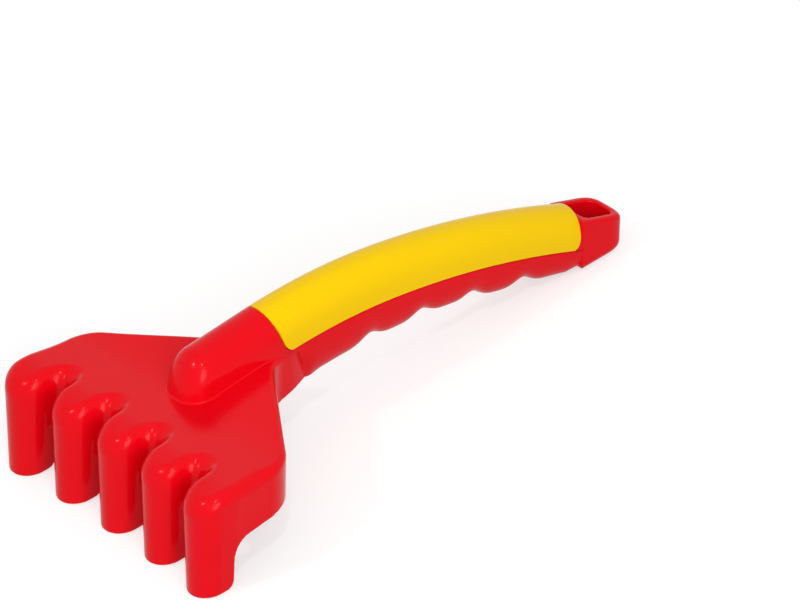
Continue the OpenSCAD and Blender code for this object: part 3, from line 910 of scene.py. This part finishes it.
class RAKE_OT_cover(bpy.types.Operator):
    """Build the yellow cover that lies flush in the top of the grip"""

    bl_idname = "rake.cover"
    bl_label = "Grip Cover"

    def execute(self, context):
        sizes, body = context.scene.rake_cover, context.scene.rake_body
        paint = context.scene.rake_colours
        yellow = moulded_plastic(
            "Yellow Moulded Plastic", paint.cover, paint.cover_deep, YELLOW_GLOSS, YELLOW_SHEEN)
        tree = Tree("Grip Cover")
        half = tree.size("Half Width", body.grip_width / MM / 2.0)
        thick = tree.size("Half Wall", sizes.wall / MM / 2.0)
        rim = tree.size("Rim Rounding", sizes.rim / MM)
        rows = tree.size("Rows", sizes.rows, "NodeSocketInt")
        columns = tree.size("Columns", sizes.columns, "NodeSocketInt")
        material = tree.size("Finish", yellow, "NodeSocketMaterial")

        grid = tree.node("GeometryNodeMeshGrid", {
            "Size X": 1.0, "Size Y": 1.0, "Vertices X": rows, "Vertices Y": columns})
        flat = tree.node("GeometryNodeCaptureAttribute", {"Geometry": grid.outputs[0]})
        flat.capture_items.new("VECTOR", "Place")
        tree.links.new(tree.node("GeometryNodeInputPosition").outputs[0], flat.inputs["Place"])
        spot = tree.node("ShaderNodeSeparateXYZ", {0: flat.outputs["Place"]})
        along = Flow(tree.tree, spot.outputs[0]) + 0.5
        over = Flow(tree.tree, spot.outputs[1]) * 2.0
        share = 0.5 - (along * math.pi).math("COSINE") * 0.5
        away = over.math("ABSOLUTE")
        turn = (away / CROWN_SHARE).low(1.0) * (math.pi / 2.0)
        crown = 1.0 - turn.math("COSINE").high(0.0) ** CROWN_FULLNESS
        width = turn.math("SINE") ** CROWN_FULLNESS * half * over.math("SIGN") * -1.0
        left = ((1.0 - away) / (1.0 - CROWN_SHARE)).high(0.0)
        on_side = away.math("GREATER_THAN", CROWN_SHARE)

        def depth(drop):
            """Depth below the crest: round over the crown, then straight down the side."""
            side = drop - (drop - CROWN_DEPTH) * left * left
            return crown * CROWN_DEPTH * (1.0 - on_side) + side * on_side

        def end_of_cover(corner, lean, way):
            """Place of the cover's end at each height over its seam, and how steep it is."""
            inside = way * -1.0
            drop = drop_flow(corner + along * 0.0)
            seam = crest_flow(corner + along * 0.0) - drop
            place, deep = corner + along * 0.0, depth(drop)
            for _ in range(3):
                height = (crest_flow(place) - deep - seam).high(0.0)
                root = (height / CORNER_RADIUS).low(1.0).root()
                back = (1.0 - root) * (1.0 - root) * CORNER_RADIUS - height * lean
                place = back * inside + corner
            steep = (1.0 - root) / root.high(0.03) + lean
            return place, (steep * steep + 1.0).root()

        start, fore_steep = end_of_cover(COVER_FRONT, FRONT_LEAN / DROP_FRONT, -1.0)
        end, aft_steep = end_of_cover(COVER_REAR, REAR_LEAN / DROP_FRONT, 1.0)
        y = start + (end - start) * share
        drop = drop_flow(y)
        deep = depth(drop)
        skin = tree.node("GeometryNodeSetPosition", {
            "Geometry": flat.outputs["Geometry"],
            "Position": tree.vector(width, y, crest_flow(y) - deep)}).outputs[0]
        edge = ((y - start) / fore_steep).low((end - y) / aft_steep).low(drop - deep)
        inner = 1.0 - (edge / rim).high(0.0).low(1.0)
        round_off = (1.0 - inner ** RIM_POWER).high(0.0) ** (1.0 / RIM_POWER)
        kept = tree.node("GeometryNodeCaptureAttribute", {"Geometry": skin})
        kept.capture_items.new("FLOAT", "Round")
        kept.capture_items.new("VECTOR", "Out")
        tree.links.new(round_off.socket, kept.inputs["Round"])
        tree.links.new(tree.node("GeometryNodeInputNormal").outputs[0], kept.inputs["Out"])
        half_wall = thick * Flow(tree.tree, kept.outputs["Round"])

        def offset(amount):
            """The skin moved outwards."""
            move = tree.node("ShaderNodeVectorMath", {0: kept.outputs["Out"]}, operation="SCALE")
            tree.links.new(amount.socket, move.inputs["Scale"])
            return tree.node("GeometryNodeSetPosition", {
                "Geometry": kept.outputs["Geometry"], "Offset": move.outputs[0]}).outputs[0]

        outer, under = offset(half_wall - thick), offset(half_wall * -1.0 - thick)
        turned = tree.node("GeometryNodeFlipFaces", {"Mesh": under}).outputs[0]
        both = tree.node("GeometryNodeJoinGeometry", {"Geometry": outer})
        tree.links.new(turned, both.inputs[0])
        closed = tree.node("GeometryNodeMergeByDistance", {
            "Geometry": both.outputs[0], "Distance": MERGE_DISTANCE})
        smooth = tree.node("GeometryNodeSetShadeSmooth", {"Geometry": closed.outputs[0]})
        tree.finish(smooth.outputs[0], material)
        finish_piece(tree.build("cover_shell"), "grip_cover")
        return {"FINISHED"}


class RAKE_OT_tabs(bpy.types.Operator):
    """Build the snap tabs that hold the cover inside the grip's walls"""

    bl_idname = "rake.tabs"
    bl_label = "Snap Tabs"

    def execute(self, context):
        sizes, body = context.scene.rake_cover, context.scene.rake_body
        yellow = bpy.data.materials["Yellow Moulded Plastic"]
        tree = Tree("Snap Tabs")
        count = tree.size("Tabs", sizes.tab_count, "NodeSocketInt")
        width = tree.size("Width", sizes.tab_width / MM)
        depth = tree.size("Depth", sizes.tab_depth / MM)
        thick = tree.size("Thickness", sizes.tab_wall / MM)
        inner = tree.size(
            "Inside of Grip", (body.grip_width / 2.0 - body.wall) / MM - sizes.seam_gap / MM)
        root = tree.size("Root Height", 2.0 * sizes.wall / MM)
        material = tree.size("Finish", yellow, "NodeSocketMaterial")

        index = Flow(tree.tree, tree.node("GeometryNodeInputIndex").outputs[0])
        first = width * 0.5 + (COVER_FRONT + CORNER_RADIUS)
        reach = (COVER_REAR - CORNER_RADIUS) - width * 0.5 - first
        y = first + reach * ((index.math("FLOOR") / 2.0).math("FLOOR") + 0.5) / count
        side = index.math("MODULO", 2.0) * 2.0 - 1.0
        seam = crest_flow(y) - drop_flow(y)
        spots = tree.node("GeometryNodePoints", {"Count": count * 2.0, "Position": tree.vector(
            side * (inner - thick * 0.5), y, seam + (root - depth) * 0.5)})
        size = tree.vector(thick, width, root + depth)
        blade = tree.node("GeometryNodeMeshCube", {
            "Size": size, "Vertices X": 3, "Vertices Y": 5, "Vertices Z": 5})
        soft = tree.node("GeometryNodeSubdivisionSurface", {"Mesh": blade.outputs[0], "Level": 1})
        each = tree.node("GeometryNodeInstanceOnPoints", {
            "Points": spots.outputs[0], "Instance": soft.outputs[0]})
        smooth = tree.node("GeometryNodeSetShadeSmooth", {"Geometry": each.outputs[0]})
        tree.finish(smooth.outputs[0], material)
        finish_piece(tree.build("cover_snap_tabs"), "grip_cover")
        return {"FINISHED"}


class RAKE_OT_stage(bpy.types.Operator):
    """Build the pale floor, the lamps, the even surroundings and the camera"""

    bl_idname = "rake.stage"
    bl_label = "Studio"

    def execute(self, context):
        scene, studio = context.scene, context.scene.rake_studio
        scene.view_settings.view_transform = "Standard"
        self.floor(context)
        self.world(scene, studio)
        self.lamp("key_lamp", *KEY_LAMP, studio.key)
        for name, (place, size) in SMALL_LAMPS.items():
            self.lamp(name, place, size, studio.spark)
        self.camera(scene, studio)
        return {"FINISHED"}

    def floor(self, context):
        """A wide pale floor that keeps the rake's shadow."""
        mesh = bpy.data.meshes.new("studio_floor")
        corners = [(x * FLOOR_HALF, y * FLOOR_HALF, FLOOR_SINK)
                   for x, y in ((-1, -1), (1, -1), (1, 1), (-1, 1))]
        mesh.from_pydata(corners, [], [(0, 1, 2, 3)])
        obj = bpy.data.objects.new("studio_floor", mesh)
        context.collection.objects.link(obj)
        material, tree = new_material("Pale Studio Floor")
        matte = tree.nodes.new("ShaderNodeBsdfDiffuse")
        matte.inputs["Color"].default_value = (*context.scene.rake_colours.floor, 1.0)
        glow = tree.nodes.new("ShaderNodeEmission")
        path = tree.nodes.new("ShaderNodeLightPath")
        seen = self.seen(tree, path)
        part = tree.nodes.new("ShaderNodeMath")
        part.operation = "MULTIPLY"
        part.inputs[1].default_value = FLOOR_GLOW
        tree.links.new(seen, part.inputs[0])
        tree.links.new(part.outputs[0], glow.inputs["Strength"])
        both = tree.nodes.new("ShaderNodeAddShader")
        tree.links.new(matte.outputs[0], both.inputs[0])
        tree.links.new(glow.outputs[0], both.inputs[1])
        out = tree.nodes.new("ShaderNodeOutputMaterial")
        tree.links.new(both.outputs[0], out.inputs[0])
        mesh.materials.append(material)

    def seen(self, tree, path):
        """1 where a camera, glossy or transmission ray looks, otherwise 0."""
        value = path.outputs["Is Camera Ray"]
        for name in ("Is Glossy Ray", "Is Transmission Ray"):
            most = tree.nodes.new("ShaderNodeMath")
            most.operation = "MAXIMUM"
            tree.links.new(value, most.inputs[0])
            tree.links.new(path.outputs[name], most.inputs[1])
            value = most.outputs[0]
        return value

    def world(self, scene, studio):
        """Even light from all round, in front of a white background."""
        world = bpy.data.worlds.new("Studio")
        world.use_nodes = True
        tree = world.node_tree
        tree.nodes.clear()
        path = tree.nodes.new("ShaderNodeLightPath")
        even, white = tree.nodes.new("ShaderNodeBackground"), tree.nodes.new("ShaderNodeBackground")
        even.inputs["Strength"].default_value = studio.ambient
        white.inputs["Color"].default_value = (1.0, 1.0, 1.0, 1.0)
        even.inputs["Color"].default_value = (1.0, 1.0, 1.0, 1.0)
        mix = tree.nodes.new("ShaderNodeMixShader")
        tree.links.new(self.seen(tree, path), mix.inputs[0])
        tree.links.new(even.outputs[0], mix.inputs[1])
        tree.links.new(white.outputs[0], mix.inputs[2])
        out = tree.nodes.new("ShaderNodeOutputWorld")
        tree.links.new(mix.outputs[0], out.inputs[0])
        scene.world = world

    def lamp(self, name, place, size, power):
        """A round lamp that faces the rake."""
        light = bpy.data.lights.new(name, "AREA")
        light.shape, light.size, light.energy = "DISK", size, power
        obj = bpy.data.objects.new(name, light)
        obj.location = place
        aim = Vector(LAMP_AIM) - Vector(place)
        obj.rotation_euler = aim.to_track_quat("-Z", "Y").to_euler()
        bpy.context.collection.objects.link(obj)

    def camera(self, scene, studio):
        """The camera, with the view of the photo."""
        camera = bpy.data.cameras.new("photo_camera")
        camera.lens, camera.sensor_width = studio.lens, SENSOR_WIDTH
        camera.clip_start, camera.clip_end = CLIP_RANGE
        obj = bpy.data.objects.new("photo_camera", camera)
        obj.matrix_world = Matrix.Translation(CAMERA_PLACE) @ camera_turn()
        bpy.context.collection.objects.link(obj)
        scene.camera = obj


def camera_turn():
    """The camera's axes in the upright drawing, turned with the rake."""
    c, s = math.cos(TILT), math.sin(TILT)
    columns = []
    for axis, sign in ((CAMERA_RIGHT, 1.0), (CAMERA_DOWN, -1.0), (CAMERA_AHEAD, -1.0)):
        x, y, z = [sign * v for v in axis]
        columns.append(Vector((x, y * c + z * s, z * c - y * s)).normalized())
    return Matrix(columns).transposed().to_4x4()


class RAKE_PT_panel(bpy.types.Panel):
    """Lists the rake's sizes and the steps that build it"""

    bl_label = "Sand Rake"
    bl_idname = "RAKE_PT_panel"
    bl_space_type = "VIEW_3D"
    bl_region_type = "UI"
    bl_category = "Sand Rake"

    def draw(self, context):
        for group, operators in PANEL_ROWS:
            box = self.layout.box()
            values = getattr(context.scene, group)
            for name in values.bl_rna.properties.keys():
                if name not in ("rna_type", "name"):
                    box.prop(values, name)
            for operator in operators:
                box.operator(operator)


GROUPS = {
    "rake_body": RakeBodySizes,
    "rake_cover": CoverSizes,
    "rake_colours": FinishColours,
    "rake_studio": StudioSetup,
}
PANEL_ROWS = (
    ("rake_body", ("rake.body",)),
    ("rake_cover", ("rake.cover", "rake.tabs")),
    ("rake_colours", ()),
    ("rake_studio", ("rake.stage",)),
)
CLASSES = tuple(GROUPS.values()) + (
    RAKE_OT_body, RAKE_OT_cover, RAKE_OT_tabs, RAKE_OT_stage, RAKE_PT_panel)


def register():
    """Adds the classes and their settings to Blender."""
    for cls in CLASSES:
        bpy.utils.register_class(cls)
    for name, group in GROUPS.items():
        setattr(bpy.types.Scene, name, bpy.props.PointerProperty(type=group))


def unregister():
    """Takes the classes and their settings out again."""
    for name in GROUPS:
        delattr(bpy.types.Scene, name)
    for cls in reversed(CLASSES):
        bpy.utils.unregister_class(cls)


def main():
    """Builds the studio and the pieces."""
    register()
    bpy.ops.rake.stage()
    bpy.ops.rake.body()
    bpy.ops.rake.cover()
    bpy.ops.rake.tabs()


if __name__ == "__main__":
    main()
